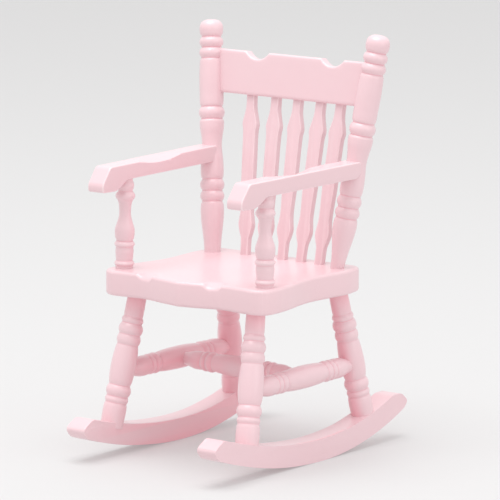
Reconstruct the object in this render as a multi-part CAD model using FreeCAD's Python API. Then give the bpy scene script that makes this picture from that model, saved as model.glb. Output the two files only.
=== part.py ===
import FreeCAD, Part
import math
import os
from FreeCAD import Vector

# Miniature (1:12) rocking chair. Millimetres, +Z up, the sitter faces -Y, +X is the chair's left side
# as the sitter sees it. Origin: floor level, midway between the rockers and between their tips.

# ---- overall ----
SEAT_TOP = 42.15
SEAT_THICK = 5.75
SEAT_BOTTOM = SEAT_TOP - SEAT_THICK

# ---- rockers ----
ROCKER_X = 19.75
ROCKER_WIDTH = 5.15
ROCKER_DEPTH = 5.05
ROCKER_BOTTOM_R_FRONT = 110.0
ROCKER_BOTTOM_R_REAR = 75.0
ROCKER_TOP_R_FRONT = 112.0
ROCKER_TOP_R_REAR = 69.5
ROCKER_LOW_Y = 3.0
ROCKER_REAR_TIP = 36.4
ROCKER_FRONT_TIP = {"left": -36.1, "right": -33.6}
ROCKER_EDGE = 0.45
ROCKER_NOSE_ROUND = 0.8
NOSE_FRONT_LOW = 1.5
NOSE_FRONT_RISE = 1.9
NOSE_FRONT_SHOULDER = (1.1, 1.3)
NOSE_FRONT_TOP = 3.6
NOSE_REAR_LOW = 1.2
NOSE_REAR_DROP = 2.0
NOSE_REAR_SHOULDER = (2.4, 0.1)
NOSE_REAR_TOP = 5.6

# ---- legs: axis end points; the front pair mirrors, the right rear leg stands slightly further back ----
LEG_FRONT_TOP = (16.92, -14.1, SEAT_BOTTOM)
LEG_FRONT_FOOT = (19.35, -20.55, 7.6)
LEG_REAR_TOP = {"left": (16.8, 16.3, SEAT_BOTTOM), "right": (-16.5, 17.5, SEAT_BOTTOM)}
LEG_REAR_FOOT = {"left": (19.6, 22.2, 7.6), "right": (-19.2, 23.9, 7.6)}
LEG_TENON_R = 1.3
LEG_TENON_IN_SEAT = 3.6
LEG_TENON_IN_ROCKER = 2.6

# ---- stretchers ----
STRETCHER_Z = 19.15
CROSS_Y = 1.0
CROSS_Y_RIGHT = 2.2
STRETCHER_TENON_R = 1.0
STRETCHER_PAST_AXIS = 0.2
STRETCHER_PEG = 4.6
CROSS_TENON_R = 0.9
CROSS_PEG = 5.0

# ---- back ----
POST_BASE = (17.97, 14.54, SEAT_TOP)
POST_TOP = (24.14, 21.98, 95.03)
POST_TENON_R = 1.3
POST_TENON_DEPTH = 3.6
RAIL_LOW = 36.8
RAIL_HIGH = 46.85
RAIL_THICK = 2.65
RAIL_SET_BACK = 1.1
RAIL_INTO_POST = 0.6
RAIL_EDGE = 0.55
NOTCH_SPACING = 21.4
NOTCH_SHIFT = 0.9
NOTCH_WIDTH = 6.6
NOTCH_DEPTH = 1.6
SPINDLES = 5
SPINDLE_THICK = 1.6
SPINDLE_SET_BACK = 1.45
SPINDLE_SHIFT = 1.2
SPINDLE_TOP_DRIFT = (0.0, 0.75, 0.8, 0.95, 0.25)
SPINDLE_PITCH_TOP = 6.3
SPINDLE_PITCH_BASE = 5.32
SPINDLE_TENON = 2.6

# ---- arms ----
ARM_FRONT_X = 19.7
ARM_REAR_X = 20.75
ARM_WIDTH = 4.4
ARM_FRONT_Y = -25.5
ARM_REAR_Y = 16.9
ARM_EDGE = 0.6
ARM_SCOOP_R = 32.0
ARM_SCOOP_DEPTH = 1.25
ARM_SCOOP_Y = -4.5
ARM_SCOOP_TILT = 16.0
ARM_TOP = 66.6
ARM_DOWEL_Z = 64.75
ARM_DOWEL_SET_BACK = 0.9
ARM_POST_BASE = (20.11, -15.06, SEAT_TOP)
ARM_POST_TOP = (19.94, -14.58, 62.8)
ARM_POST_TENON_R = 1.0
ARM_POST_TENON_UP = 2.2
ARM_POST_TENON_DOWN = 3.2
ARM_DOWEL_R = 0.8
ARM_DOWEL_LENGTH = 4.0

# ---- seat ----
SEAT_EDGE = 0.8
SEAT_REAR_CORNER = 2.0
DISH_SPHERE_R = 190.0
DISH_DEPTH = 0.75
DISH_Y = 1.5
NICK_X = (-10.8, 8.8)
NICK_Y = -19.5
NICK_R = 3.6
NICK_DEPTH = 1.1
NICK_TILT = 20.0


def vec(point):
    return Vector(*point)


def mirrored(point):
    return (-point[0], point[1], point[2])


def curve(points):
    """Edge through the points: line for two, arc for three, interpolated curve for more."""
    if len(points) == 2:
        return Part.makeLine(points[0], points[1])
    if len(points) == 3:
        return Part.Arc(points[0], points[1], points[2]).toShape()
    spline = Part.BSplineCurve()
    spline.interpolate(points)
    return spline.toShape()


def along(base, tip):
    """Placement carrying local Z onto the line from base to tip."""
    start = vec(base)
    direction = vec(tip) - start
    return FreeCAD.Placement(start, FreeCAD.Rotation(Vector(0, 0, 1), direction))


def length_of(base, tip):
    return (vec(tip) - vec(base)).Length


def turned(base, tip, segments, before=0.0, after=0.0):
    """Revolve profile segments of (fraction, radius) about the line from base to tip.
    The end radii carry on by 'before' and 'after' past the ends, to be trimmed by the neighbours."""
    total = length_of(base, tip)
    points = [[Vector(r, 0, f * total) for f, r in segment] for segment in segments]
    first = points[0][0]
    last = points[-1][-1]
    edges = [Part.makeLine(Vector(0, 0, -before), Vector(first.x, 0, -before))]
    if before > 0:
        edges.append(Part.makeLine(Vector(first.x, 0, -before), first))
    for segment in points:
        edges.append(curve(segment))
    end_z = total + after
    if after > 0:
        edges.append(Part.makeLine(last, Vector(last.x, 0, end_z)))
    if last.x > 0:
        edges.append(Part.makeLine(Vector(last.x, 0, end_z), Vector(0, 0, end_z)))
    edges.append(Part.makeLine(Vector(0, 0, end_z), Vector(0, 0, -before)))
    wire = Part.Wire(Part.sortEdges(edges)[0])
    solid = Part.Face(wire).revolve(Vector(0, 0, 0), Vector(0, 0, 1), 360)
    solid.Placement = along(base, tip)
    return solid


def peg(base, tip, radius, before, after):
    """Cylinder on the line from base to tip, from 'before' behind base to 'after' past it."""
    axis = (vec(tip) - vec(base)).normalize()
    start = vec(base) - axis * before
    return Part.makeCylinder(radius, before + after, start, axis)


def at_height(axis, z):
    """Point on a line given by two end points where it passes height z."""
    base, tip = vec(axis[0]), vec(axis[1])
    point = base + (tip - base) * ((z - base.z) / (tip.z - base.z))
    return (point.x, point.y, point.z)


def at_depth(axis, y):
    """Point on a line given by two end points where it passes the given y."""
    base, tip = vec(axis[0]), vec(axis[1])
    point = base + (tip - base) * ((y - base.y) / (tip.y - base.y))
    return (point.x, point.y, point.z)


def bead(start, end, radius, neck):
    """Rounded bead between two fractions: neck radius at the ends, full radius in the middle."""
    return [(start, neck), ((start + end) / 2, radius), (end, neck)]


def one_solid(shape):
    """Largest solid of a boolean result."""
    return max(shape.Solids, key=lambda solid: solid.Volume)


# ---------------------------------------------------------------- seat

def seat_outline(z):
    """Plan of the seat as a closed wire at height z."""
    left = [(23.25, -16.6), (23.45, -13.4), (22.9, -9.2), (21.5, -3.0), (21.0, 1.5), (21.4, 7.0),
            (21.9, 13.0)]
    left += [(21.3, 17.4), (19.0, 20.1)]
    front = [(-20.1, -19.75), (-16.4, -19.55), (-10.4, -19.2), (-5.2, -20.5), (0.0, -21.5)]
    front += [(5.2, -20.5), (10.4, -19.2), (16.4, -19.55), (20.1, -19.75)]
    corner = (22.4, -18.75)
    front_points = [Vector(x, y, z) for x, y in front]
    left_points = [Vector(x, y, z) for x, y in left]
    right_points = [Vector(-x, y, z) for x, y in left]
    edges = [
        curve(front_points),
        curve([front_points[-1], Vector(corner[0], corner[1], z), left_points[0]]),
        curve(left_points),
        Part.makeLine(left_points[-1], right_points[-1]),
        curve(right_points[::-1]),
        curve([right_points[0], Vector(-corner[0], corner[1], z), front_points[0]]),
    ]
    return Part.Wire(edges)


def make_seat():
    seat = Part.Face(seat_outline(SEAT_BOTTOM)).extrude(Vector(0, 0, SEAT_THICK))
    corners = []
    for edge in seat.Edges:
        box = edge.BoundBox
        if box.XLength < 0.01 and box.YLength < 0.01 and box.YMin > 19.0:
            corners.append(edge)
    seat = seat.makeFillet(SEAT_REAR_CORNER, corners)
    rim = [edge for edge in seat.Edges if edge.BoundBox.ZLength < 0.01]
    seat = seat.makeFillet(SEAT_EDGE, rim)
    ball_z = SEAT_TOP - DISH_DEPTH + DISH_SPHERE_R
    dish = Part.makeSphere(DISH_SPHERE_R, Vector(0, DISH_Y, ball_z))
    seat = seat.cut(dish)
    lean = Vector(0, math.cos(math.radians(NICK_TILT)), math.sin(math.radians(NICK_TILT)))
    for x in NICK_X:
        start = Vector(x, NICK_Y, SEAT_TOP - NICK_DEPTH + NICK_R) - lean * 8.0
        seat = seat.cut(Part.makeCylinder(NICK_R, 14.0, start, lean))
    return one_solid(seat)


# ---------------------------------------------------------------- rockers

def arc_z(front_r, rear_r, base_z, y):
    """Height of a runner curve at y: two arcs that share a level tangent at ROCKER_LOW_Y."""
    radius = front_r if y < ROCKER_LOW_Y else rear_r
    return base_z + radius - math.sqrt(radius ** 2 - (y - ROCKER_LOW_Y) ** 2)


def bottom_z(y):
    return arc_z(ROCKER_BOTTOM_R_FRONT, ROCKER_BOTTOM_R_REAR, 0.0, y)


def top_z(y):
    return arc_z(ROCKER_TOP_R_FRONT, ROCKER_TOP_R_REAR, ROCKER_DEPTH, y)


def runner_edge(x, height, y_start, y_end):
    """Smooth edge following a runner curve from y_start to y_end."""
    steps = 8
    return curve([Vector(x, y, height(y)) for y in
                  (y_start + (y_end - y_start) * step / steps for step in range(steps + 1))])


def make_rocker(side):
    inner_x = ROCKER_X - ROCKER_WIDTH / 2
    front_tip = ROCKER_FRONT_TIP["left" if side > 0 else "right"]
    bottom_start = front_tip + NOSE_FRONT_LOW
    bottom_end = ROCKER_REAR_TIP - NOSE_REAR_LOW
    top_start = front_tip + NOSE_FRONT_TOP
    top_end = ROCKER_REAR_TIP - NOSE_REAR_TOP
    low_front = Vector(inner_x, bottom_start, bottom_z(bottom_start))
    low_rear = Vector(inner_x, bottom_end, bottom_z(bottom_end))
    high_front = Vector(inner_x, top_start, top_z(top_start))
    high_rear = Vector(inner_x, top_end, top_z(top_end))
    front_y, front_drop = NOSE_FRONT_SHOULDER
    rear_y, rear_rise = NOSE_REAR_SHOULDER
    corners = [
        low_rear,
        Vector(inner_x, ROCKER_REAR_TIP, high_rear.z - NOSE_REAR_DROP),
        Vector(inner_x, ROCKER_REAR_TIP - rear_y, high_rear.z + rear_rise),
        high_rear,
    ]
    edges = [runner_edge(inner_x, bottom_z, bottom_start, bottom_end)]
    edges += [Part.makeLine(a, b) for a, b in zip(corners, corners[1:])]
    edges.append(runner_edge(inner_x, top_z, top_end, top_start))
    corners = [
        high_front,
        Vector(inner_x, front_tip + front_y, high_front.z - front_drop),
        Vector(inner_x, front_tip, low_front.z + NOSE_FRONT_RISE),
        low_front,
    ]
    edges += [Part.makeLine(a, b) for a, b in zip(corners, corners[1:])]
    rocker = Part.Face(Part.Wire(edges)).extrude(Vector(ROCKER_WIDTH, 0, 0))
    across = []
    for edge in rocker.Edges:
        if abs(edge.BoundBox.XLength - ROCKER_WIDTH) < 0.01:
            across.append(edge)
    rocker = rocker.makeFillet(ROCKER_NOSE_ROUND, across)
    rim = [edge for edge in rocker.Edges if edge.BoundBox.XLength < 0.01]
    rocker = rocker.makeFillet(ROCKER_EDGE, rim)
    if side < 0:
        rocker = rocker.mirror(Vector(0, 0, 0), Vector(1, 0, 0))
    return one_solid(rocker)


def rocker_bed(side):
    """Wide block under the runner's top curve, used to trim the feet of the legs."""
    x = side * ROCKER_X - ROCKER_WIDTH * 2
    ends = (-34.0, 34.0)
    edges = [runner_edge(x, top_z, ends[0], ends[1])]
    start = Vector(x, ends[0], top_z(ends[0]))
    end = Vector(x, ends[1], top_z(ends[1]))
    low_start = Vector(x, ends[0], -5.0)
    low_end = Vector(x, ends[1], -5.0)
    edges.append(Part.makeLine(end, low_end))
    edges.append(Part.makeLine(low_end, low_start))
    edges.append(Part.makeLine(low_start, start))
    wire = Part.Wire(Part.sortEdges(edges)[0])
    return Part.Face(wire).extrude(Vector(ROCKER_WIDTH * 4, 0, 0))


# ---------------------------------------------------------------- turned pieces

def leg_profile():
    """Fractions run from the seat down to the rocker."""
    return [
        [(0.0, 2.14), (0.10, 2.2), (0.165, 2.2), (0.18, 2.14)],
        bead(0.18, 0.232, 2.5, 2.14),
        bead(0.232, 0.318, 2.78, 2.3),
        bead(0.318, 0.395, 2.72, 2.38),
        [(0.395, 2.38), (0.42, 2.58), (0.50, 2.82), (0.58, 2.88), (0.66, 2.74), (0.70, 2.5), (0.71, 2.34)],
        bead(0.71, 0.80, 2.84, 2.34),
        bead(0.80, 0.85, 2.66, 2.36),
        [(0.85, 2.42), (0.87, 2.6), (0.93, 2.68), (1.0, 2.6)],
    ]


def joined(segments):
    """Insert the short steps between segments whose ends do not meet."""
    result = [segments[0]]
    for segment in segments[1:]:
        if result[-1][-1] != segment[0]:
            result.append([result[-1][-1], segment[0]])
        result.append(segment)
    return result


def post_profile():
    """Fractions run from the seat up to the finial tip."""
    return [
        [(0.0, 1.9), (0.043, 2.05), (0.086, 2.3), (0.13, 2.58), (0.173, 2.72), (0.205, 2.62), (0.215, 2.42)],
        bead(0.215, 0.262, 2.8, 2.28),
        bead(0.262, 0.312, 2.82, 2.28),
        [(0.312, 2.3), (0.32, 2.55), (0.345, 2.66), (0.385, 2.5), (0.43, 2.36), (0.475, 2.52),
         (0.52, 2.78), (0.55, 2.82), (0.565, 2.76), (0.571, 2.42)],
        bead(0.571, 0.625, 3.0, 2.4),
        [(0.625, 2.4), (0.632, 2.7), (0.68, 2.78), (0.75, 2.82), (0.80, 2.74), (0.825, 2.62), (0.833, 2.38)],
        bead(0.833, 0.879, 2.84, 2.3),
        bead(0.879, 0.925, 2.78, 2.2),
        [(0.925, 2.18), (0.935, 2.55), (0.955, 2.76), (0.975, 2.66), (0.99, 2.1), (0.998, 1.13), (1.0, 0.0)],
    ]


def arm_post_profile():
    """Fractions run from the seat up to the arm."""
    return [
        [(0.0, 1.97), (0.022, 1.98)],
        bead(0.03, 0.085, 2.3, 1.86),
        [(0.085, 1.88), (0.10, 1.93), (0.14, 2.0), (0.19, 2.08), (0.23, 2.05)],
        bead(0.235, 0.302, 2.32, 1.86),
        [(0.302, 1.84), (0.33, 2.1), (0.38, 2.25), (0.44, 2.2), (0.51, 1.75), (0.58, 1.37), (0.66, 1.35),
         (0.72, 1.5), (0.75, 1.8)],
        bead(0.75, 0.85, 2.22, 1.7),
        bead(0.865, 0.965, 1.96, 1.68),
        [(0.965, 1.68), (1.0, 1.66)],
    ]


def stretcher_profile(neck, barrel, ring, middle):
    """Neck, barrel, two rings and a swelling middle; the far end is the same the other way round."""
    groove = ring - 0.42
    waist = middle - 0.34
    swell = [(0.305, groove), (0.325, waist), (0.40, middle - 0.1), (0.5, middle)]
    first = [
        [(0.0, neck), (0.075, neck), (0.11, neck + 0.3), (0.15, barrel), (0.20, barrel - 0.02),
         (0.215, groove)],
        bead(0.215, 0.255, ring - 0.05, groove),
        bead(0.255, 0.305, ring, groove),
    ]
    far = [[(1 - f, r) for f, r in reversed(run)] for run in reversed(first)]
    return first + [swell + [(1 - f, r) for f, r in reversed(swell[:-1])]] + far


# ---------------------------------------------------------------- back

def back_frame():
    """Axes of the leaning back: origin on the seat, right, up-the-back and backward unit vectors."""
    up = Vector(0, POST_TOP[1] - POST_BASE[1], POST_TOP[2] - POST_BASE[2]).normalize()
    right = Vector(1, 0, 0)
    behind = up.cross(right) * -1
    if behind.y < 0:
        behind = behind * -1
    return Vector(0, POST_BASE[1], POST_BASE[2]), right, up, behind


def on_back(x, s, u):
    origin, right, up, behind = back_frame()
    return origin + right * x + up * s + behind * u


def post_x(s):
    rise = math.hypot(POST_TOP[1] - POST_BASE[1], POST_TOP[2] - POST_BASE[2])
    return POST_BASE[0] + (POST_TOP[0] - POST_BASE[0]) * s / rise


def make_rail():
    front_u = RAIL_SET_BACK - RAIL_THICK / 2
    low_x = post_x(RAIL_LOW) - RAIL_INTO_POST
    high_x = post_x(RAIL_HIGH) - RAIL_INTO_POST
    half = NOTCH_WIDTH / 2
    edges = []
    start = on_back(-high_x, RAIL_HIGH, front_u)
    previous = start
    for centre in (NOTCH_SHIFT - NOTCH_SPACING / 2, NOTCH_SHIFT + NOTCH_SPACING / 2):
        shape = [(-half, 0.0), (-half * 0.62, -NOTCH_DEPTH * 0.62), (-half * 0.3, -NOTCH_DEPTH)]
        shape += [(half * 0.3, -NOTCH_DEPTH), (half * 0.62, -NOTCH_DEPTH * 0.62), (half, 0.0)]
        top_points = [on_back(centre + dx, RAIL_HIGH + ds, front_u) for dx, ds in shape]
        edges.append(Part.makeLine(previous, top_points[0]))
        edges.append(curve(top_points))
        previous = top_points[-1]
    corner = on_back(high_x, RAIL_HIGH, front_u)
    edges.append(Part.makeLine(previous, corner))
    low_right = on_back(low_x, RAIL_LOW, front_u)
    low_left = on_back(-low_x, RAIL_LOW, front_u)
    edges.append(Part.makeLine(corner, low_right))
    edges.append(Part.makeLine(low_right, low_left))
    edges.append(Part.makeLine(low_left, start))
    behind = back_frame()[3]
    rail = Part.Face(Part.Wire(edges)).extrude(behind * RAIL_THICK)
    long_edges = []
    for edge in rail.Edges:
        box = edge.BoundBox
        if box.XLength > 1.0:
            long_edges.append(edge)
    return one_solid(rail.makeFillet(RAIL_EDGE, long_edges))


def spindle_x(number, s):
    place = number - (SPINDLES - 1) / 2
    pitch = SPINDLE_PITCH_BASE + (SPINDLE_PITCH_TOP - SPINDLE_PITCH_BASE) * s / RAIL_LOW
    return SPINDLE_SHIFT + place * pitch + SPINDLE_TOP_DRIFT[number] * s / RAIL_LOW


def make_spindle(number):
    """Flat sawn slat: narrow necks at both ends, flared shoulders, slightly tapered body."""
    low = -SPINDLE_TENON
    high = RAIL_LOW + SPINDLE_TENON
    half_widths = [(low, 1.08), (3.9, 1.08), (5.2, 1.5), (7.0, 1.92), (8.6, 1.7), (10.6, 1.45), (17.5, 1.68)]
    half_widths += [(27.4, 1.72), (28.9, 1.8), (30.1, 2.02), (31.6, 1.7), (33.2, 1.28), (34.4, 1.1),
                    (high, 1.08)]
    u = SPINDLE_SET_BACK - SPINDLE_THICK / 2
    left = [on_back(spindle_x(number, s) - w, s, u) for s, w in half_widths]
    right = [on_back(spindle_x(number, s) + w, s, u) for s, w in half_widths]
    edges = [
        Part.makeLine(left[0], left[1]),
        curve(left[1:-1]),
        Part.makeLine(left[-2], left[-1]),
        Part.makeLine(left[-1], right[-1]),
        Part.makeLine(right[-1], right[-2]),
        curve(right[1:-1][::-1]),
        Part.makeLine(right[1], right[0]),
        Part.makeLine(right[0], left[0]),
    ]
    behind = back_frame()[3]
    return one_solid(Part.Face(Part.Wire(edges)).extrude(behind * SPINDLE_THICK))


# ---------------------------------------------------------------- arms

def make_arm():
    """Arm board for the +X side: side profile extruded across, splayed, its top edge scooped."""
    profile = [
        (ARM_FRONT_Y, 60.7), (ARM_FRONT_Y, 62.5), (-22.6, ARM_TOP - 0.3), (ARM_REAR_Y, ARM_TOP),
        (ARM_REAR_Y, 63.9),
        (15.6, 62.85), (-16.6, 62.75), (-18.8, 61.4), (-20.6, 60.6),
    ]
    points = [Vector(-ARM_WIDTH / 2, y, z) for y, z in profile]
    face = Part.Face(Part.makePolygon(points + [points[0]]))
    arm = face.extrude(Vector(ARM_WIDTH, 0, 0))
    across = []
    for edge in arm.Edges:
        box = edge.BoundBox
        if abs(box.XLength - ARM_WIDTH) < 0.01 and box.YMin < ARM_REAR_Y - 0.1:
            across.append(edge)
    arm = arm.makeFillet(ARM_EDGE, across)
    inner_x = -ARM_WIDTH / 2
    scoop_z = ARM_TOP + ARM_SCOOP_R - ARM_SCOOP_DEPTH
    scoop_start = Vector(inner_x - 3.0, ARM_SCOOP_Y, scoop_z)
    scoop = Part.makeCylinder(ARM_SCOOP_R, 6.0, scoop_start, Vector(1, 0, 0))
    scoop.rotate(Vector(inner_x, ARM_SCOOP_Y, ARM_TOP), Vector(0, 1, 0), -ARM_SCOOP_TILT)
    arm = arm.cut(scoop)
    splay = math.degrees(math.atan2(ARM_REAR_X - ARM_FRONT_X, ARM_REAR_Y - ARM_FRONT_Y))
    arm.rotate(Vector(0, ARM_FRONT_Y, 0), Vector(0, 0, 1), -splay)
    arm.translate(Vector(ARM_FRONT_X, 0, 0))
    return one_solid(arm)


def mirror_x(shape):
    return one_solid(shape.mirror(Vector(0, 0, 0), Vector(1, 0, 0)))


# ---------------------------------------------------------------- assembly

def fitted(body, neighbours, tenons):
    """Trim a body by its neighbours, then add its tenons."""
    for neighbour in neighbours:
        body = one_solid(body.cut(neighbour))
    for tenon in tenons:
        body = body.fuse(tenon)
    return one_solid(body.removeSplitter())


def build():
    parts = {}
    seat = make_seat()
    sockets = []
    stretcher_axes = {}
    for side, name in ((1, "left"), (-1, "right")):
        def here(point):
            return point if side > 0 else mirrored(point)

        rocker = make_rocker(side)
        bed = rocker_bed(side)
        axes = {
            "front": (here(LEG_FRONT_TOP), here(LEG_FRONT_FOOT)),
            "rear": (LEG_REAR_TOP[name], LEG_REAR_FOOT[name]),
        }
        legs = {}
        for row, (top, foot) in axes.items():
            body = turned(top, foot, joined(leg_profile()), 1.2, 1.2)
            up = peg(top, foot, LEG_TENON_R, LEG_TENON_IN_SEAT, 1.5)
            down = peg(foot, top, LEG_TENON_R, LEG_TENON_IN_ROCKER, 1.5)
            legs[row] = fitted(body, [seat, bed], [up, down])
            sockets.append(up)
            rocker = rocker.cut(down)
        parts["rocker_" + name] = one_solid(rocker)

        front = at_height(axes["front"], STRETCHER_Z)
        rear = at_height(axes["rear"], STRETCHER_Z)
        body = turned(front, rear, joined(stretcher_profile(1.72, 2.3, 2.42, 2.62)))
        pins = [
            peg(front, rear, STRETCHER_TENON_R, STRETCHER_PAST_AXIS, STRETCHER_PEG),
            peg(rear, front, STRETCHER_TENON_R, STRETCHER_PAST_AXIS, STRETCHER_PEG),
        ]
        side_stretcher = fitted(body, [legs["front"], legs["rear"]], pins)
        stretcher_axes[name] = (front, rear)
        legs["front"] = one_solid(legs["front"].cut(pins[0]))
        legs["rear"] = one_solid(legs["rear"].cut(pins[1]))
        parts["leg_front_" + name] = legs["front"]
        parts["leg_rear_" + name] = legs["rear"]
        parts["side_stretcher_" + name] = side_stretcher

        back_base = here(POST_BASE)
        back_top = here(POST_TOP)
        body = turned(back_base, back_top, joined(post_profile()), 0.8)
        tenon = peg(back_base, back_top, POST_TENON_R, POST_TENON_DEPTH, 2.0)
        parts["back_post_" + name] = fitted(body, [seat], [tenon])
        sockets.append(tenon)

        arm = make_arm() if side > 0 else mirror_x(make_arm())
        arm_base = here(ARM_POST_BASE)
        arm_top = here(ARM_POST_TOP)
        body = turned(arm_base, arm_top, joined(arm_post_profile()), 0.8, 0.8)
        down = peg(arm_base, arm_top, ARM_POST_TENON_R, ARM_POST_TENON_DOWN, 2.0)
        up = peg(arm_top, arm_base, ARM_POST_TENON_R, ARM_POST_TENON_UP, 2.0)
        parts["arm_post_" + name] = fitted(body, [seat, arm], [down, up])
        sockets.append(down)
        arm = one_solid(arm.cut(up))

        post = parts["back_post_" + name]
        fraction = (ARM_DOWEL_Z - POST_BASE[2]) / (POST_TOP[2] - POST_BASE[2])
        on_post = vec(back_base) + (vec(back_top) - vec(back_base)) * fraction
        dowel_start = Vector(on_post.x, on_post.y - ARM_DOWEL_SET_BACK, on_post.z)
        dowel = Part.makeCylinder(ARM_DOWEL_R, ARM_DOWEL_LENGTH, dowel_start, Vector(0, -1, 0))
        parts["armrest_" + name] = fitted(arm, [post], [dowel])
        parts["back_post_" + name] = one_solid(post.cut(dowel))

    cross_left = at_depth(stretcher_axes["left"], CROSS_Y)
    cross_right = at_depth(stretcher_axes["right"], CROSS_Y_RIGHT)
    body = turned(cross_right, cross_left, joined(stretcher_profile(1.5, 2.1, 2.34, 2.44)))
    pins = [
        peg(cross_right, cross_left, CROSS_TENON_R, STRETCHER_PAST_AXIS, CROSS_PEG),
        peg(cross_left, cross_right, CROSS_TENON_R, STRETCHER_PAST_AXIS, CROSS_PEG),
    ]
    sides = [parts["side_stretcher_right"], parts["side_stretcher_left"]]
    parts["centre_stretcher"] = fitted(body, sides, pins)
    parts["side_stretcher_right"] = one_solid(sides[0].cut(pins[0]))
    parts["side_stretcher_left"] = one_solid(sides[1].cut(pins[1]))

    rail = make_rail()
    for name in ("back_post_left", "back_post_right"):
        parts[name] = one_solid(parts[name].cut(rail))
    for number in range(SPINDLES):
        spindle = make_spindle(number)
        parts["spindle_%d" % (number + 1)] = spindle
        rail = rail.cut(spindle)
        sockets.append(spindle)
    parts["crest_rail"] = one_solid(rail)
    for socket in sockets:
        seat = seat.cut(socket)
    parts["seat"] = one_solid(seat)
    return parts


os.makedirs("parts", exist_ok=True)
solids = build()
mass = 0.0
moment = Vector(0, 0, 0)
for name, shape in sorted(solids.items()):
    shape.exportStep("parts/%s.step" % name)
    mass += shape.Volume
    moment += shape.CenterOfMass * shape.Volume
    box = shape.BoundBox
    print("%-22s %s valid=%s vol=%8.1f  x %.2f..%.2f y %.2f..%.2f z %.2f..%.2f" % (
        name, shape.ShapeType, shape.isValid(), shape.Volume,
        box.XMin, box.XMax, box.YMin, box.YMax, box.ZMin, box.ZMax))
print("centre of mass", moment / mass, "volume", mass)
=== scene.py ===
import math

import bmesh
import bpy
from bpy.props import FloatProperty, FloatVectorProperty, IntProperty, PointerProperty
from bpy.types import Operator, Panel, PropertyGroup
from mathutils import Matrix, Vector, noise


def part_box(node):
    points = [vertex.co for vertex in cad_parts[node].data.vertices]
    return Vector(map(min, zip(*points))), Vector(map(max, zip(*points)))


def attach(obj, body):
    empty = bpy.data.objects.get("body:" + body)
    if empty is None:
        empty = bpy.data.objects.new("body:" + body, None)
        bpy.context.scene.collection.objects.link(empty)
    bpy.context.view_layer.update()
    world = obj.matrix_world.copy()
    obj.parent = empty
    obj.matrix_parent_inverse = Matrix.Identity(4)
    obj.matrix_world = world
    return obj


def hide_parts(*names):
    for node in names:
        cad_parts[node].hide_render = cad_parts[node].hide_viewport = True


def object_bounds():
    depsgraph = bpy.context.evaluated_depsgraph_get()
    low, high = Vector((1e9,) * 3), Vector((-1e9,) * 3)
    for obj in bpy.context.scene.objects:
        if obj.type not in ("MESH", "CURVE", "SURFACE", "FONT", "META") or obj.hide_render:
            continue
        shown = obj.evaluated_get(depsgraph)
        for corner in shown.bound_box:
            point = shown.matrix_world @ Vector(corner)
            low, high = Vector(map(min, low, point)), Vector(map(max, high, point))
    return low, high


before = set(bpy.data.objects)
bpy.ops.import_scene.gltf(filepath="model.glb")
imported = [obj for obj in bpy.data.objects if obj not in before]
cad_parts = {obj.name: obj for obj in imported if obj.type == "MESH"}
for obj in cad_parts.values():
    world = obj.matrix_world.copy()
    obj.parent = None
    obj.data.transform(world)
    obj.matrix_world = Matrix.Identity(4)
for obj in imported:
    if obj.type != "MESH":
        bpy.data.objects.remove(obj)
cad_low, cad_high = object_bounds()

bl_info = {
    "name": "Miniature Rocking Chair",
    "version": (1, 0, 0),
    "blender": (4, 5, 0),
    "location": "3D View > Sidebar > Rocking Chair",
    "description": "Builds a painted dolls-house rocking chair piece by piece, and a studio to see it in",
    "category": "Mesh",
}

MM = 0.001
RIGHT = Vector((1, 0, 0))
BACKWARD = Vector((0, 1, 0))
UP = Vector((0, 0, 1))

# Tenon lengths hidden inside the neighbours, in millimetres, as the joiner cut them.
LEG_TENON_UP = 3.6
LEG_TENON_DOWN = 2.6
STRETCHER_PAST_AXIS = 0.2
POST_TENON = 3.6
ARM_POST_TENON_DOWN = 3.2
ARM_POST_TENON_UP = 2.2
SPINDLE_TENON = 2.6


# ------------------------------------------------------------------ settings

class ChairShape(PropertyGroup):
    """Sizes of the worked surfaces."""
    ring_spacing: FloatProperty(
        name="Ring spacing", description="Distance between rings of a turned piece",
        default=0.15 * MM, unit="LENGTH")
    turned_sides: IntProperty(
        name="Turned sides", description="Faces round a turned piece", default=44)
    paint_fill: IntProperty(
        name="Paint fill", description="How far paint rounds off the turned grooves", default=1)
    board_round: FloatProperty(
        name="Board edge", description="Round on the long edges of rockers and arms",
        default=0.42 * MM, unit="LENGTH")
    seat_round: FloatProperty(
        name="Seat edge", description="Round on the rim of the seat", default=0.8 * MM, unit="LENGTH")
    rail_round: FloatProperty(
        name="Rail edge", description="Round on the edges of the crest rail",
        default=0.55 * MM, unit="LENGTH")
    spindle_round: FloatProperty(
        name="Slat edge", description="Round on the sawn edges of the slats",
        default=0.2 * MM, unit="LENGTH")
    dish_depth: FloatProperty(
        name="Dish depth", description="Depth of the hollow in the seat", default=0.75 * MM, unit="LENGTH")
    scoop_depth: FloatProperty(
        name="Scoop depth", description="Depth of the hollow planed in each arm",
        default=1.25 * MM, unit="LENGTH")
    wobble: FloatProperty(
        name="Hand wobble", description="How far hand work strays from true", default=0.05 * MM,
        unit="LENGTH")


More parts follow.
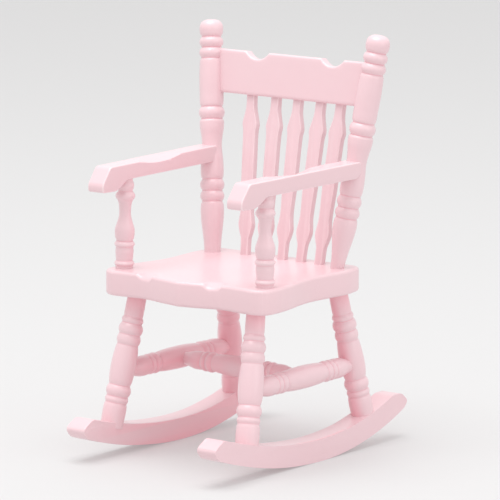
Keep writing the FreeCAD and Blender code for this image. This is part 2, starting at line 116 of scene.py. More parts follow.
class ChairPaint(PropertyGroup):
    """Colours and gloss of the paint, with the colours for painted shade and a painted highlight."""
    pink: FloatVectorProperty(
        name="Paint", description="Main colour of the paint", subtype="COLOR", size=3,
        default=(0.835, 0.6, 0.635), min=0.0, max=1.0)
    # Pooled paint in grooves; the same colour also stands in for painted shade in the grooves.
    pooled_paint_and_shade: FloatVectorProperty(
        name="Pooled paint", description="Colour where paint lies thick in a groove", subtype="COLOR",
        size=3, default=(0.84, 0.39, 0.45), min=0.0, max=1.0)
    # Thin paint on sharp edges; the same colour also serves as a painted highlight along them.
    worn_paint_and_highlight: FloatVectorProperty(
        name="Thin paint", description="Colour where paint is thin on an edge", subtype="COLOR",
        size=3, default=(0.93, 0.76, 0.78), min=0.0, max=1.0)
    # Painted shade: a deeper pink on faces under the seat that look inwards or lie close below it.
    painted_shade_colour: FloatVectorProperty(
        name="Sheltered paint", description="Deeper colour on faces that look inwards under the seat",
        subtype="COLOR", size=3, default=(0.94, 0.47, 0.53), min=0.0, max=1.0)
    roughness: FloatProperty(
        name="Roughness", description="Roughness of the dried paint", default=0.33,
        min=0.0, max=1.0, subtype="FACTOR")


class StudioSettings(PropertyGroup):
    """Light, floor and camera."""
    sky: FloatProperty(name="Sky", description="Strength of the even light", default=0.9)
    overhead: FloatProperty(
        name="Overhead", description="Power of the overhead softbox", default=4.2, unit="POWER")
    side: FloatProperty(
        name="Side", description="Power of the fill from the side", default=0.36, unit="POWER")
    floor: FloatVectorProperty(
        name="Floor", description="Colour of the floor", subtype="COLOR", size=3,
        default=(0.45, 0.45, 0.45), min=0.0, max=1.0)
    azimuth: FloatProperty(
        name="Azimuth", description="Camera angle round the chair", default=math.radians(37.818),
        subtype="ANGLE")
    elevation: FloatProperty(
        name="Elevation", description="Camera angle above the floor", default=math.radians(9.814),
        subtype="ANGLE")
    distance: FloatProperty(
        name="Distance", description="Camera distance from its target", default=1.01217, unit="LENGTH")
    lens: FloatProperty(
        name="Lens", description="Focal length", default=324.0, subtype="DISTANCE_CAMERA")


# ------------------------------------------------------------------ measuring the frame

def places(node):
    """The separate vertex places of a CAD node, in millimetres."""
    found = {}
    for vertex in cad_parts[node].data.vertices:
        place = vertex.co / MM
        found[tuple(round(value, 2) for value in place)] = place
    return list(found.values())


def middle(points):
    return sum(points, Vector()) / len(points)


def end_centres(node, along):
    """Centres of the two end faces of a long CAD node that runs roughly along a direction."""
    points = places(node)
    direction = along.normalized()
    for depth in (1.2, 0.8, 0.5, 0.3, 0.3):
        reach = [point.dot(direction) for point in points]
        low = min(reach) + depth
        high = max(reach) - depth
        start = middle([point for point, value in zip(points, reach) if value < low])
        end = middle([point for point, value in zip(points, reach) if value > high])
        direction = (end - start).normalized()
    return start, end, direction


def box_mm(node):
    low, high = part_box(node)
    return low / MM, high / MM


def extent(points, direction, origin):
    """Least and greatest distance of the points from an origin along a direction."""
    reach = [(point - origin).dot(direction) for point in points]
    return min(reach), max(reach)


def back_basis():
    """Origin on the seat between the posts, and the directions up and behind the leaning back."""
    origin = Vector()
    lean = Vector()
    for side in ("left", "right"):
        start, end, direction = end_centres("back_post_" + side, UP)
        origin += (start + direction * POST_TENON) / 2
        lean += direction
    lean.x = 0.0
    lean.normalize()
    return origin, lean, RIGHT.cross(lean) * -1


# ------------------------------------------------------------------ shaping

def through(knots, at):
    """Value at a position on a smooth curve through (position, value) knots."""
    if at <= knots[0][0]:
        return knots[0][1]
    if at >= knots[-1][0]:
        return knots[-1][1]
    index = max(place for place, knot in enumerate(knots[:-1]) if knot[0] <= at)
    start, end = knots[index], knots[index + 1]
    before = knots[max(index - 1, 0)]
    after = knots[min(index + 2, len(knots) - 1)]
    span = end[0] - start[0]
    t = (at - start[0]) / span
    leave = (end[1] - before[1]) / (end[0] - before[0]) * span
    arrive = (after[1] - start[1]) / (after[0] - start[0]) * span
    return (
        start[1] * (2 * t ** 3 - 3 * t ** 2 + 1) + leave * (t ** 3 - 2 * t ** 2 + t)
        + end[1] * (3 * t ** 2 - 2 * t ** 3) + arrive * (t ** 3 - t ** 2)
    )


def bead(start, end, radius, neck):
    """Rounded bead between two fractions of a turned piece, in (fraction, radius) knots."""
    knots = []
    for step in range(13):
        t = step / 6 - 1
        knots.append((start + (end - start) * step / 12, neck + (radius - neck) * (1 - abs(t) ** 2.1)))
    return knots


def radius_at(profile, fraction):
    """Radius of a turned profile, made of runs of knots, at a fraction of its length."""
    chosen = profile[0]
    for run in profile:
        if run[0][0] <= fraction:
            chosen = run
    return through(chosen, fraction)


def turned_piece(profile, start, end, before, after, dome, shape):
    """Spin a profile round the line from start to end. It runs on by before and after inside its
    neighbours, or closes in a dome from a fraction."""
    spacing = shape.ring_spacing / MM
    length = (end - start).length
    last = dome or 1.0
    count = int(length * last / spacing)
    fractions = [last * step / count for step in range(count + 1)]
    radii = [radius_at(profile, fraction) for fraction in fractions]
    for sweep in range(shape.paint_fill):
        inner = [(radii[i - 1] + 2 * radii[i] + radii[i + 1]) / 4 for i in range(1, count)]
        radii = radii[:1] + inner + radii[-1:]
    points = [(0.0, -before), (radii[0], -before)] if before else [(0.0, 0.0)]
    points += [(radius, fraction * length) for radius, fraction in zip(radii, fractions)]
    if dome:
        steps = 14
        for step in range(1, steps + 1):
            angle = math.pi / 2 * step / steps
            height = last + (1 - last) * math.sin(angle) ** 0.77
            points.append((radii[-1] * max(math.cos(angle), 0.0) ** 0.77, height * length))
        points[-1] = (0.0, length)
    else:
        points += [(radii[-1], length + after), (0.0, length + after)] if after else [(0.0, length)]
    bm = bmesh.new()
    line = [bm.verts.new((radius, 0, height)) for radius, height in points]
    edges = [bm.edges.new(pair) for pair in zip(line, line[1:])]
    bmesh.ops.spin(
        bm, geom=line + edges, cent=(0, 0, 0), axis=(0, 0, 1), dvec=(0, 0, 0), angle=math.tau,
        steps=shape.turned_sides, use_merge=True, use_normal_flip=False, use_duplicate=False)
    bmesh.ops.remove_doubles(bm, verts=bm.verts[:], dist=0.002)
    turn = (end - start).to_track_quat("Z", "Y").to_matrix().to_4x4()
    bmesh.ops.transform(bm, matrix=Matrix.Translation(start) @ turn, verts=bm.verts[:])
    return bm


def board(outline, push):
    """Face on a closed outline, pushed out into a board by a vector."""
    bm = bmesh.new()
    face = bm.faces.new([bm.verts.new(point) for point in outline])
    grown = bmesh.ops.extrude_face_region(bm, geom=[face])
    moved = [item for item in grown["geom"] if isinstance(item, bmesh.types.BMVert)]
    bmesh.ops.translate(bm, verts=moved, vec=push)
    bmesh.ops.recalc_face_normals(bm, faces=bm.faces[:])
    return bm


def round_edges(bm, edges, radius, segments):
    bmesh.ops.bevel(
        bm, geom=edges, offset=radius, offset_type="OFFSET", affect="EDGES", segments=segments,
        profile=0.5, material=-1, clamp_overlap=True)


def sharp_edges(bm, least, across=None):
    """Edges that turn by more than an angle; with across, only those that run along it."""
    found = []
    for edge in bm.edges:
        if len(edge.link_faces) != 2 or edge.calc_face_angle(0.0) < least:
            continue
        line = (edge.verts[1].co - edge.verts[0].co).normalized()
        if across is None or abs(line.dot(across)) > 0.99:
            found.append(edge)
    return found


def slice_along(bm, direction, spacing, low=-1e9, high=1e9):
    """Cut a board into slices, so that its faces can follow a hand-worked surface."""
    reach = [vertex.co.dot(direction) for vertex in bm.verts]
    low = max(low, min(reach))
    high = min(high, max(reach))
    count = max(int((high - low) / spacing), 1)
    for step in range(1, count):
        at = low + (high - low) * step / count
        bmesh.ops.bisect_plane(
            bm, geom=bm.verts[:] + bm.edges[:] + bm.faces[:], dist=0.004,
            plane_co=direction * at, plane_no=direction)


def stray(bm, amount, reach, seed):
    """Small wander of a surface worked by hand."""
    offset = Vector((seed * 17.3, seed * 5.1, seed * 9.7))
    for vertex in bm.verts:
        vertex.co += noise.noise_vector(vertex.co / reach + offset) * amount


def mark_relief(bm):
    """Store how sharply the surface bends, outwards above a half and inwards below it."""
    layer = bm.verts.layers.float.new("relief")
    bm.normal_update()
    for vertex in bm.verts:
        bend = 0.0
        for edge in vertex.link_edges:
            line = edge.other_vert(vertex).co - vertex.co
            bend -= 2 * line.dot(vertex.normal) / max(line.length_squared, 0.01)
        bend /= max(len(vertex.link_edges), 1)
        vertex[layer] = min(max(0.5 + bend * 0.22, 0.0), 1.0)


def mark_painted_shade(bm):
    """Store painted shade under the seat: how far each place faces in towards the middle of the chair, and how
    close it lies below the seat.
    """
    layer = bm.verts.layers.float.new("painted_shade")
    underside = box_mm("seat")[0].z
    for vertex in bm.verts:
        if vertex.co.z > underside:
            continue
        # Painted shade on faces under the seat that look in towards the middle of the chair.
        away = Vector((vertex.co.x, vertex.co.y - 2.0, 0.0))
        reach = max(away.length, 1.0)
        facing = 0.5 - 0.5 * vertex.normal.dot(away) / reach + max(0.5 - reach / 45.0, 0.0)
        inward = smooth_step((facing - 0.35) / 0.5) * smooth_step((vertex.co.y + 26.0) / 18.0)
        inward *= 0.9 * (1 - max(vertex.normal.z, 0.0))
        # Painted shade right below the seat's underside.
        under_seat_shade = smooth_step((vertex.co.z - underside + 7.0) / 7.0) * 0.8
        vertex[layer] = max(inward, under_seat_shade)


def finish_piece(bm, name, nodes, material, seam=0.5):
    """Turn a bmesh in millimetres into an object in the frame, standing for its CAD nodes."""
    bmesh.ops.recalc_face_normals(bm, faces=bm.faces[:])
    mark_relief(bm)
    # Painted shade under the seat, stored as a vertex attribute.
    mark_painted_shade(bm)
    for face in bm.faces:
        face.smooth = True
    for edge in bm.edges:
        edge.smooth = len(edge.link_faces) == 2 and edge.calc_face_angle(0.0) < seam
    bmesh.ops.scale(bm, vec=(MM, MM, MM), verts=bm.verts[:])
    mesh = bpy.data.meshes.new(name)
    bm.to_mesh(mesh)
    bm.free()
    mesh.materials.append(material)
    piece = bpy.data.objects.new(name, mesh)
    bpy.context.scene.collection.objects.link(piece)
    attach(piece, "root")
    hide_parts(*nodes)
    return piece


# ------------------------------------------------------------------ materials

class Value:
    """A shader socket that takes part in sums."""

    def __init__(self, recipe, socket):
        self.recipe = recipe
        self.socket = socket

    def maths(self, operation, first, second, clamp=False):
        return self.recipe.add(
            "ShaderNodeMath", {"operation": operation, "use_clamp": clamp}, {0: first, 1: second})

    def __add__(self, other):
        return self.maths("ADD", self, other)

    def __sub__(self, other):
        return self.maths("SUBTRACT", self, other)

    def __mul__(self, other):
        return self.maths("MULTIPLY", self, other)

    def __rsub__(self, other):
        return self.maths("SUBTRACT", other, self)

    def clamped(self):
        return self.maths("ADD", self, 0.0, clamp=True)

    __radd__ = __add__
    __rmul__ = __mul__


class Recipe:
    """The node tree of one finish."""

    def __init__(self, name):
        self.material = bpy.data.materials.new(name)
        self.material.use_nodes = True
        self.tree = self.material.node_tree
        self.tree.nodes.clear()

    def add(self, kind, settings=None, sockets=None, output=0):
        """Add a node, set it, fill its sockets with values or links, and return one output."""
        node = self.tree.nodes.new(kind)
        for key, value in (settings or {}).items():
            if key == "stops":
                ramp = node.color_ramp.elements
                for element, (place, colour) in zip(ramp, value):
                    element.position = place
                    element.color = colour
            else:
                setattr(node, key, value)
        for key, value in (sockets or {}).items():
            if isinstance(value, Value):
                self.tree.links.new(value.socket, node.inputs[key])
            else:
                node.inputs[key].default_value = value
        return Value(self, node.outputs[output]) if len(node.outputs) else None

    def mix(self, factor, first, second):
        return self.add(
            "ShaderNodeMix", {"data_type": "RGBA"}, {"Factor": factor, 6: first, 7: second}, output=2)

    def noise(self, place, scale, detail, roughness=0.5):
        return self.add("ShaderNodeTexNoise", None, {
            "Vector": place, "Scale": scale, "Detail": detail, "Roughness": roughness})

    def stretched(self, place, scale):
        return self.add("ShaderNodeMapping", None, {"Vector": place, "Scale": scale})


def painted_wood(name, grain, paint):
    """Pink semi-gloss paint brushed over turned or sawn wood. Grain is the direction of the piece."""
    recipe = Recipe(name)
    place = recipe.add("ShaderNodeTexCoord", output="Object")
    along = recipe.stretched(place, tuple(190.0 if axis == grain else 2300.0 for axis in "XYZ"))
    blotch = recipe.noise(place, 70.0, 3.0)
    mottle = recipe.noise(place, 420.0, 4.0, 0.6)
    brush = recipe.noise(along, 1.0, 3.0, 0.55)
    peel = recipe.noise(place, 1500.0, 2.0)
    relief = recipe.add("ShaderNodeAttribute", {"attribute_name": "relief"}, output="Fac")
    # Painted shade under the seat, read from its attribute.
    painted_shade = recipe.add("ShaderNodeAttribute", {"attribute_name": "painted_shade"}, output="Fac")
    speck = recipe.add("ShaderNodeTexVoronoi", None, {"Vector": place, "Scale": 260.0})
    # Masks from the bend: sharp edges get thin paint with a painted highlight, and grooves get pooled paint with
    # painted shade.
    thin = (relief - 0.62 + (mottle - 0.5) * 0.25) * 2.6
    groove_pool_and_shade = (0.42 - relief + (blotch - 0.5) * 0.1) * 3.2
    dust = (0.05 - speck) * 14.0 * (mottle - 0.42).clamped() * 4.0
    pink = paint.pink[:] + (1.0,)
    pooled_paint_and_shade = paint.pooled_paint_and_shade[:] + (1.0,)
    worn_paint_and_highlight = paint.worn_paint_and_highlight[:] + (1.0,)
    painted_shade_colour = paint.painted_shade_colour[:] + (1.0,)
    colour = recipe.mix((blotch * 0.5 + mottle * 0.25 + brush * 0.1 - 0.28).clamped(), pink, tuple(
        a * 0.75 + b * 0.25 for a, b in zip(pink, pooled_paint_and_shade)))
    # Painted shade under the seat: mix towards the deeper pink where the attribute says so.
    colour = recipe.mix((painted_shade * (0.7 + blotch * 0.3)).clamped(), colour, painted_shade_colour)
    # Pooled paint and painted shade in grooves.
    colour = recipe.mix((groove_pool_and_shade * 0.7).clamped(), colour, pooled_paint_and_shade)
    # Thin paint and a painted highlight on sharp edges.
    colour = recipe.mix((thin * 0.75).clamped(), colour, worn_paint_and_highlight)
    colour = recipe.mix(dust.clamped() * 0.35, colour, (0.95, 0.9, 0.9, 1.0))
    rough = (paint.roughness + (brush - 0.5) * 0.02 + (blotch - 0.5) * 0.1).clamped()
    height = peel * 0.05 + mottle * 0.2 + blotch * 1.2
    bump = recipe.add("ShaderNodeBump", None, {"Strength": 0.4, "Distance": 0.00003, "Height": height})
    shader = recipe.add("ShaderNodeBsdfPrincipled", None, {
        "Base Color": colour, "Roughness": rough, "Normal": bump, "Specular IOR Level": 0.5,
        "Coat Weight": 0.45, "Coat Roughness": 0.26})
    recipe.add("ShaderNodeOutputMaterial", None, {"Surface": shader})
    return recipe.material


def finish_named(name, grain):
    """The finish of that name, made the first time it is asked for."""
    found = bpy.data.materials.get(name)
    return found or painted_wood(name, grain, bpy.context.scene.chair_paint)


def paper_floor(colour):
    recipe = Recipe("studio_paper")
    place = recipe.add("ShaderNodeTexCoord", output="Object")
    tone = recipe.noise(place, 9.0, 2.0)
    shade = recipe.mix(tone * 0.04, colour[:] + (1.0,), (0.42, 0.42, 0.42, 1.0))
    shader = recipe.add("ShaderNodeBsdfPrincipled", None, {
        "Base Color": shade, "Roughness": 0.75, "Specular IOR Level": 0.2,
        "Emission Color": (1.0, 0.975, 0.975, 1.0), "Emission Strength": 0.25})
    recipe.add("ShaderNodeOutputMaterial", None, {"Surface": shader})
    return recipe.material


# ------------------------------------------------------------------ turned profiles

LEG = [
    [(0.0, 2.14), (0.10, 2.2), (0.165, 2.2), (0.18, 2.12)],
    bead(0.18, 0.232, 2.5, 2.14),
    bead(0.232, 0.318, 2.78, 2.3),
    bead(0.318, 0.395, 2.72, 2.38),
    [(0.395, 2.36), (0.42, 2.58), (0.50, 2.82), (0.58, 2.88), (0.66, 2.74), (0.70, 2.5), (0.71, 2.34)],
    bead(0.71, 0.80, 2.84, 2.34),
    bead(0.80, 0.85, 2.66, 2.36),
    [(0.85, 2.42), (0.87, 2.6), (0.93, 2.68), (1.0, 2.6)],
]
POST = [
    [(0.0, 1.9), (0.043, 2.05), (0.086, 2.3), (0.13, 2.58), (0.173, 2.72), (0.205, 2.62), (0.215, 2.40)],
    bead(0.215, 0.262, 2.80, 2.26),
    bead(0.262, 0.312, 2.82, 2.26),
    [(0.312, 2.28), (0.32, 2.55), (0.35, 2.68), (0.40, 2.56), (0.455, 2.3), (0.495, 2.46),
     (0.53, 2.76), (0.55, 2.82), (0.565, 2.76), (0.571, 2.40)],
    bead(0.571, 0.625, 3.0, 2.38),
    [(0.625, 2.38), (0.632, 2.7), (0.68, 2.78), (0.75, 2.82), (0.80, 2.74), (0.825, 2.62), (0.833, 2.36)],
    bead(0.833, 0.879, 2.84, 2.26),
    bead(0.879, 0.925, 2.78, 2.16),
    [(0.925, 2.12), (0.935, 2.56), (0.955, 2.76)],
]
SLIM_FOOT = [(0.0, 1.5), (0.043, 1.72), (0.086, 2.05), (0.13, 2.45), (0.173, 2.7), (0.205, 2.62), (0.215, 2.40)]
ARM_POST = [
    [(0.0, 1.97), (0.022, 1.98)],
    bead(0.03, 0.085, 2.32, 1.82),
    [(0.085, 1.84), (0.10, 1.93), (0.14, 2.0), (0.19, 2.08), (0.23, 2.0)],
    bead(0.235, 0.302, 2.34, 1.82),
    [(0.302, 1.80), (0.33, 2.1), (0.38, 2.25), (0.44, 2.2), (0.51, 1.75), (0.58, 1.37), (0.66, 1.35),
     (0.72, 1.5), (0.75, 1.76)],
    bead(0.75, 0.85, 2.24, 1.64),
    bead(0.865, 0.965, 1.96, 1.64),
    [(0.965, 1.66), (1.0, 1.66)],
]


def stretcher_profile(neck, barrel, ring, middle_radius):
    """Neck, barrel, two rings and a swelling middle; the far end is the same the other way round."""
    groove = ring - 0.42
    waist = middle_radius - 0.34
    swell = [(0.305, groove), (0.325, waist), (0.40, middle_radius - 0.1), (0.5, middle_radius)]
    first = [
        [(0.0, neck), (0.075, neck), (0.11, neck + 0.3), (0.15, barrel), (0.20, barrel - 0.02), (0.215, groove)],
        bead(0.215, 0.255, ring - 0.05, groove),
        bead(0.255, 0.305, ring, groove),
    ]
    far = [[(1 - fraction, radius) for fraction, radius in reversed(run)] for run in reversed(first)]
    return first + [swell + [(1 - fraction, radius) for fraction, radius in reversed(swell[:-1])]] + far


def add_turned(name, node, profile, along, cut, run_on, dome=None, grain="Z", seed=0):
    """Turned piece on the axis of a CAD node. Cut gives the tenon lengths taken off its two ends."""
    shape = bpy.context.scene.chair_shape
    start, end, direction = end_centres(node, along)
    start += direction * cut[0]
    end -= direction * cut[1]
    bm = turned_piece(profile, start, end, run_on[0], run_on[1], dome, shape)
    stray(bm, shape.wobble / MM * 0.7, 5.0, seed)
    finish_piece(bm, name, [node], finish_named("turned_pink_" + grain, grain), 0.9)


# ------------------------------------------------------------------ boards

def seat_outline(low, high):
    """Plan of the seat, fitted between the corners of its box."""
    side = [(23.45, -13.4), (22.9, -9.2), (21.5, -3.0), (21.0, 1.5), (21.4, 7.0),
            (21.9, 13.0), (21.3, 17.4), (20.6, 19.2), (19.0, 20.1)]
    front = [(0.0, -21.5), (5.2, -20.5), (10.4, -19.2), (16.4, -19.55), (20.1, -19.75),
             (21.9, -19.1), (23.0, -17.8), (23.4, -15.9), (23.45, -13.4)]
    half = []
    for knots in (front, side):
        spans = [0.0]
        for a, b in zip(knots, knots[1:]):
            spans.append(spans[-1] + math.dist(a, b))
        count = int(spans[-1] / 0.8)
        for step in range(count):
            at = spans[-1] * step / count
            half.append((through(list(zip(spans, [k[0] for k in knots])), at),
                         through(list(zip(spans, [k[1] for k in knots])), at)))
    half.append(side[-1])
    outline = half + [(-x, y) for x, y in half[:0:-1]]
    wide = max(x for x, y in outline)
    near = min(y for x, y in outline)
    far = max(y for x, y in outline)
    return [Vector((x * high.x / wide, low.y + (y - near) * (high.y - low.y) / (far - near), low.z))
            for x, y in outline]


def smooth_step(value):
    value = min(max(value, 0.0), 1.0)
    return value * value * (3 - 2 * value)


def add_seat():
    shape = bpy.context.scene.chair_shape
    low, high = box_mm("seat")
    bm = board(seat_outline(low, high), Vector((0, 0, high.z - low.z)))
    rim = [edge for edge in bm.edges if abs(edge.verts[0].co.z - edge.verts[1].co.z) < 0.01]
    round_edges(bm, rim, shape.seat_round / MM, 5)
    slice_along(bm, RIGHT, 1.1)
    slice_along(bm, BACKWARD, 1.1)
    for nick in (-10.8, 8.8):
        slice_along(bm, RIGHT, 0.35, nick - 3.2, nick + 3.2)
    slice_along(bm, BACKWARD, 0.35, low.y, low.y + 5.5)
    depth = shape.dish_depth / MM
    bm.normal_update()
    for vertex in bm.verts:
        if vertex.normal.z < 0.05 or vertex.co.z < high.z - 1.5:
            continue
        lift = smooth_step((vertex.co.z - high.z + 1.0) / 1.0)
        away = math.hypot(vertex.co.x, vertex.co.y - 1.5) / 17.5
        vertex.co.z -= depth * (1 - smooth_step(away)) * lift
        for nick in (-10.8, 8.8):
            across = 1 - ((vertex.co.x - nick) / 2.6) ** 2
            back = 1 - (vertex.co.y + 20.0) / 4.2
            if across > 0 and back > 0:
                vertex.co.z -= 1.0 * smooth_step(across) * smooth_step(back)
    stray(bm, shape.wobble / MM * 1.3, 9.0, 3)
    finish_piece(bm, "painted_seat", ["seat"], finish_named("seat_pink_X", "X"), 0.7)


def runner_height(y, low_y, front_r, rear_r, base):
    radius = front_r if y < low_y else rear_r
    return base + radius - math.sqrt(radius ** 2 - (y - low_y) ** 2)


def add_rocker(side):
    shape = bpy.context.scene.chair_shape
    node = "rocker_" + side
    low, high = box_mm(node)
    low_y = 3.0
    depth = 5.05

    def bottom(y):
        return runner_height(y, low_y, 110.0, 75.0, low.z)

    def top(y):
        return runner_height(y, low_y, 112.0, 69.5, low.z + depth)

    def run(height, start, end, steps=46):
        return [Vector((low.x, start + (end - start) * step / steps,
                        height(start + (end - start) * step / steps))) for step in range(steps + 1)]

    rear_top = top(high.y - 5.9)
    front_top = top(low.y + 3.6)
    front_low = bottom(low.y + 1.5)
    outline = run(bottom, low.y + 1.5, high.y - 1.2)
    outline.append(Vector((low.x, high.y, rear_top - 1.9)))
    outline.append(Vector((low.x, high.y - 2.4, rear_top + 0.05)))
    outline += run(top, high.y - 5.9, low.y + 3.6)
    outline.append(Vector((low.x, low.y + 1.1, front_top - 1.3)))
    outline.append(Vector((low.x, low.y, front_low + 1.9)))
    bm = board(outline, Vector((high.x - low.x, 0, 0)))
    round_edges(bm, sharp_edges(bm, 0.12, RIGHT), 0.8, 5)
    rim = [edge for edge in bm.edges if abs(edge.verts[0].co.x - edge.verts[1].co.x) < 0.01]
    round_edges(bm, rim, shape.board_round / MM, 4)
    slice_along(bm, UP, 1.1)
    slice_along(bm, RIGHT, 1.2)
    stray(bm, shape.wobble / MM * 1.2, 8.0, 5 if side == "left" else 7)
    finish_piece(bm, "painted_rocker_" + side, [node], finish_named("board_pink_Y", "Y"), 0.7)


def add_crest_rail():
    shape = bpy.context.scene.chair_shape
    origin, up, behind = back_basis()
    points = places("crest_rail")
    low, high = extent(points, up, origin)
    front, rear = extent(points, behind, origin)
    wide_high = max(abs(p.x) for p in points)
    wide_low = max(abs(p.x) for p in points if (p - origin).dot(up) < low + 1.2)

    def at(x, s):
        return origin + RIGHT * x + up * s + behind * front

    half = 3.3
    outline = [at(-wide_low, low), at(wide_low, low), at(wide_high, high)]
    for centre in (0.9 + 10.7, 0.9 - 10.7):
        for step in range(17):
            t = 1 - step / 8
            outline.append(at(centre + half * t, high - 1.65 * (1 - abs(t) ** 2.2)))
    outline.append(at(-wide_high, high))
    bm = board(outline, behind * (rear - front))
    long_edges = []
    for edge in bm.edges:
        a, b = edge.verts[0].co - origin, edge.verts[1].co - origin
        at_end = min(abs(a.x), abs(b.x)) > wide_low - 0.3 and abs(a.x - b.x) < 2.0
        if abs(a.dot(behind) - b.dot(behind)) < 0.01 and not at_end:
            long_edges.append(edge)
    round_edges(bm, long_edges, shape.rail_round / MM, 4)
    slice_along(bm, RIGHT, 1.1)
    slice_along(bm, UP, 1.1)
    for side in (-1, 1):
        ends = sorted((side * (wide_low - 1.6), side * (wide_high + 0.1)))
        slice_along(bm, RIGHT, 0.2, ends[0], ends[1])
    for vertex in bm.verts:
        height = (vertex.co - origin).dot(up)
        edge_x = wide_low + (wide_high - wide_low) * (height - low) / (high - low)
        near_post = smooth_step((abs(vertex.co.x) - edge_x + 1.5) / 1.3)
        if (vertex.co - origin).dot(behind) < front + 0.9:
            vertex.co -= behind * near_post ** 2 * 0.55
    stray(bm, shape.wobble / MM, 8.0, 11)
    finish_piece(bm, "painted_crest_rail", ["crest_rail"],
                 finish_named("board_pink_X", "X"), 0.7)


SPINDLE_HALF_WIDTHS = [
    (0.0, 1.08), (6.5, 1.08), (7.8, 1.5), (9.6, 1.92), (11.2, 1.7), (13.2, 1.45), (20.1, 1.68),
    (30.0, 1.72), (31.5, 1.8), (32.7, 2.02), (34.2, 1.7), (35.8, 1.28), (37.0, 1.1), (42.0, 1.08)]


def add_spindle(number):
    shape = bpy.context.scene.chair_shape
    node = "spindle_%d" % number
    behind = back_basis()[2]
    start, end, direction = end_centres(node, UP)
    front, rear = extent(places(node), behind, start)
    total = SPINDLE_HALF_WIDTHS[-1][0]
    steps = 76
    edge_line = []
    for step in range(steps + 1):
        at = total * step / steps
        width = through(SPINDLE_HALF_WIDTHS, at)
        edge_line.append((start + (end - start) * (at / total) + behind * front, width))
    outline = [centre + RIGHT * width for centre, width in edge_line]
    outline += [centre - RIGHT * width for centre, width in reversed(edge_line)]
    bm = board(outline, behind * (rear - front))
    rim = [edge for edge in bm.edges
           if abs((edge.verts[0].co - edge.verts[1].co).dot(behind)) < 0.01]
    round_edges(bm, rim, shape.spindle_round / MM, 3)
    slice_along(bm, RIGHT, 0.9)
    stray(bm, shape.wobble / MM * 0.9, 6.0, 20 + number)
    finish_piece(bm, "painted_" + node, [node], finish_named("board_pink_Z", "Z"), 0.7)


def add_arm(side):
    shape = bpy.context.scene.chair_shape
    node = "armrest_" + side
    low, high = box_mm(node)
    points = places(node)
    front_end = [p.x for p in points if p.y < low.y + 0.6]
    rear_end = [p.x for p in points if p.y > high.y - 1.2]
    front_x = (min(front_end) + max(front_end)) / 2
    rear_x = (min(rear_end) + max(rear_end)) / 2
    width = 4.4
    sign = 1 if side == "left" else -1
    front, rear, base = low.y, high.y, low.z
    profile = [
        (front, base + 0.1), (front, base + 1.9), (front + 2.9, high.z - 0.3), (rear, high.z),
        (rear, high.z - 2.7), (rear - 1.3, high.z - 3.75), (-16.6, high.z - 3.85),
        (-18.8, base + 0.8), (-20.6, base)]
    outline = [Vector((-width / 2, y, z)) for y, z in profile]
    bm = board(outline, Vector((width, 0, 0)))
    round_edges(bm, sharp_edges(bm, 0.1, RIGHT), 0.6, 4)
    rim = [edge for edge in bm.edges if abs(edge.verts[0].co.x - edge.verts[1].co.x) < 0.01]
    round_edges(bm, rim, 0.28, 3)
    slice_along(bm, BACKWARD, 0.45)
    slice_along(bm, RIGHT, 0.5)
    slice_along(bm, UP, 0.6, high.z - 3.0, high.z)
    radius = 32.0
    scoop = high.z + radius - shape.scoop_depth / MM
    for vertex in bm.verts:
        inward = vertex.co.x + width / 2
        reach = abs(vertex.co.y + 4.5)
        floor = scoop - math.sqrt(radius ** 2 - min(reach, 20.0) ** 2) + inward * math.tan(math.radians(16))
        if vertex.co.z > floor:
            vertex.co.z = floor
    if sign < 0:
        bmesh.ops.scale(bm, vec=(-1, 1, 1), verts=bm.verts[:])
    splay = math.atan2(rear_x - front_x, rear - front)
    bmesh.ops.rotate(bm, cent=(0, front, 0), matrix=Matrix.Rotation(-splay, 3, "Z"), verts=bm.verts[:])
    bmesh.ops.translate(bm, vec=(front_x, 0, 0), verts=bm.verts[:])
    stray(bm, shape.wobble / MM, 8.0, 31 if sign > 0 else 33)
    finish_piece(bm, "painted_armrest_" + side, [node],
                 finish_named("board_pink_Y", "Y"), 0.6)


# ------------------------------------------------------------------ operators

SIDES = ("left", "right")


class CHAIR_OT_seat(Operator):
    """Build the dished seat board"""
    bl_idname = "chair.seat"
    bl_label = "Seat"

    def execute(self, context):
        add_seat()
        return {"FINISHED"}


class CHAIR_OT_rockers(Operator):
    """Build the two curved runners"""
    bl_idname = "chair.rockers"
    bl_label = "Rockers"

    def execute(self, context):
        for side in SIDES:
            add_rocker(side)
        return {"FINISHED"}


class CHAIR_OT_legs(Operator):
    """Build the four turned legs"""
    bl_idname = "chair.legs"
    bl_label = "Legs"

    def execute(self, context):
        seed = 40
        for row in ("front", "rear"):
            for side in SIDES:
                seed += 1
                node = "leg_%s_%s" % (row, side)
                add_turned("turned_" + node, node, LEG, -UP, (LEG_TENON_UP, LEG_TENON_DOWN),
                           (0.9, 1.2), seed=seed)
        return {"FINISHED"}


class CHAIR_OT_stretchers(Operator):
    """Build the two side stretchers and the one across"""
    bl_idname = "chair.stretchers"
    bl_label = "Stretchers"

    def execute(self, context):
        cut = (STRETCHER_PAST_AXIS, STRETCHER_PAST_AXIS)
        for seed, side in enumerate(SIDES):
            node = "side_stretcher_" + side
            add_turned("turned_" + node, node, stretcher_profile(1.72, 2.3, 2.42, 2.62), BACKWARD, cut,
                       (0, 0), grain="Y", seed=50 + seed)
        add_turned("turned_centre_stretcher", "centre_stretcher",
                   stretcher_profile(1.5, 2.1, 2.34, 2.44), RIGHT, cut, (0, 0), grain="X", seed=55)
        return {"FINISHED"}


class CHAIR_OT_back_posts(Operator):
    """Build the two turned back posts with their finials"""
    bl_idname = "chair.back_posts"
    bl_label = "Back posts"

    def execute(self, context):
        for seed, side in enumerate(SIDES):
            node = "back_post_" + side
            profile = [SLIM_FOOT] + POST[1:] if side == "left" else POST
            add_turned("turned_" + node, node, profile, UP, (POST_TENON, 0.0), (0.8, 0), 0.955,
                       seed=60 + seed)
        return {"FINISHED"}


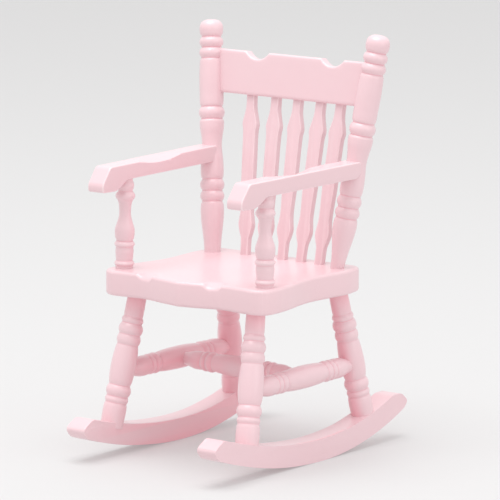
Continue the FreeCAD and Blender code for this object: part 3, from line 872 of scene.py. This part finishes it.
class CHAIR_OT_crest_rail(Operator):
    """Build the notched rail across the top of the back"""
    bl_idname = "chair.crest_rail"
    bl_label = "Crest rail"

    def execute(self, context):
        add_crest_rail()
        return {"FINISHED"}


class CHAIR_OT_spindles(Operator):
    """Build the five flat sawn slats of the back"""
    bl_idname = "chair.spindles"
    bl_label = "Back slats"

    def execute(self, context):
        for number in range(1, 6):
            add_spindle(number)
        return {"FINISHED"}


class CHAIR_OT_arm_posts(Operator):
    """Build the two turned posts under the arms"""
    bl_idname = "chair.arm_posts"
    bl_label = "Arm posts"

    def execute(self, context):
        for seed, side in enumerate(SIDES):
            node = "arm_post_" + side
            add_turned("turned_" + node, node, ARM_POST, UP, (ARM_POST_TENON_DOWN, ARM_POST_TENON_UP),
                       (0.8, 0.8), seed=70 + seed)
        return {"FINISHED"}


class CHAIR_OT_arms(Operator):
    """Build the two arm boards with their planed hollows"""
    bl_idname = "chair.arms"
    bl_label = "Arms"

    def execute(self, context):
        for side in SIDES:
            add_arm(side)
        return {"FINISHED"}


def add_area_light(name, place, target, size, power):
    data = bpy.data.lights.new(name, "AREA")
    data.shape = "SQUARE"
    data.size = size
    data.energy = power
    lamp = bpy.data.objects.new(name, data)
    lamp.location = place
    lamp.rotation_mode = "QUATERNION"
    lamp.rotation_quaternion = (target - place).to_track_quat("-Z", "Y")
    bpy.context.scene.collection.objects.link(lamp)


class CHAIR_OT_studio(Operator):
    """Lay the floor and set the lights and the camera"""
    bl_idname = "chair.studio"
    bl_label = "Studio"

    def execute(self, context):
        scene = context.scene
        studio = scene.chair_studio
        bm = bmesh.new()
        bmesh.ops.create_grid(bm, x_segments=24, y_segments=24, size=6.0)
        mesh = bpy.data.meshes.new("studio_floor")
        bm.to_mesh(mesh)
        bm.free()
        mesh.materials.append(paper_floor(studio.floor))
        floor = bpy.data.objects.new("studio_floor", mesh)
        scene.collection.objects.link(floor)
        world = bpy.data.worlds.new("studio_sky")
        world.use_nodes = True
        background = world.node_tree.nodes["Background"]
        background.inputs["Color"].default_value = (1.0, 1.0, 1.0, 1.0)
        background.inputs["Strength"].default_value = studio.sky
        scene.world = world
        scene.view_settings.view_transform = "Standard"
        centre = (cad_low + cad_high) / 2
        target = centre + Vector((0.0060, -0.0024, -0.0003))
        back = Vector((
            math.sin(studio.azimuth) * math.cos(studio.elevation),
            -math.cos(studio.azimuth) * math.cos(studio.elevation),
            math.sin(studio.elevation)))
        add_area_light("overhead_softbox", centre + Vector((-0.04, -0.12, 0.75)), centre, 0.6, studio.overhead)
        add_area_light("side_fill", centre + Vector((0.58, 0.0, 0.18)), centre, 0.4, studio.side)
        camera = bpy.data.objects.new("camera", bpy.data.cameras.new("camera"))
        camera.data.sensor_width = 36.0
        camera.data.lens = studio.lens
        camera.location = target + back * studio.distance
        camera.rotation_mode = "QUATERNION"
        camera.rotation_quaternion = (-back).to_track_quat("-Z", "Y")
        camera.data.clip_start = 0.01
        camera.data.clip_end = 50.0
        scene.collection.objects.link(camera)
        scene.camera = camera
        return {"FINISHED"}


STEPS = ("seat", "rockers", "legs", "stretchers", "back_posts", "crest_rail", "spindles", "arm_posts",
         "arms", "studio")


class CHAIR_PT_builder(Panel):
    """Lists the pieces of the chair in the sidebar"""
    bl_idname = "CHAIR_PT_builder"
    bl_label = "Rocking Chair"
    bl_space_type = "VIEW_3D"
    bl_region_type = "UI"
    bl_category = "Rocking Chair"

    def draw(self, context):
        for step in STEPS:
            self.layout.operator("chair." + step)


CLASSES = (
    ChairShape, ChairPaint, StudioSettings, CHAIR_OT_seat, CHAIR_OT_rockers, CHAIR_OT_legs,
    CHAIR_OT_stretchers, CHAIR_OT_back_posts, CHAIR_OT_crest_rail, CHAIR_OT_spindles,
    CHAIR_OT_arm_posts, CHAIR_OT_arms, CHAIR_OT_studio, CHAIR_PT_builder)


def register():
    for cls in CLASSES:
        bpy.utils.register_class(cls)
    bpy.types.Scene.chair_shape = PointerProperty(type=ChairShape)
    bpy.types.Scene.chair_paint = PointerProperty(type=ChairPaint)
    bpy.types.Scene.chair_studio = PointerProperty(type=StudioSettings)


def unregister():
    del bpy.types.Scene.chair_studio
    del bpy.types.Scene.chair_paint
    del bpy.types.Scene.chair_shape
    for cls in reversed(CLASSES):
        bpy.utils.unregister_class(cls)


def main():
    register()
    for step in STEPS:
        getattr(bpy.ops.chair, step)()


if __name__ == "__main__":
    main()
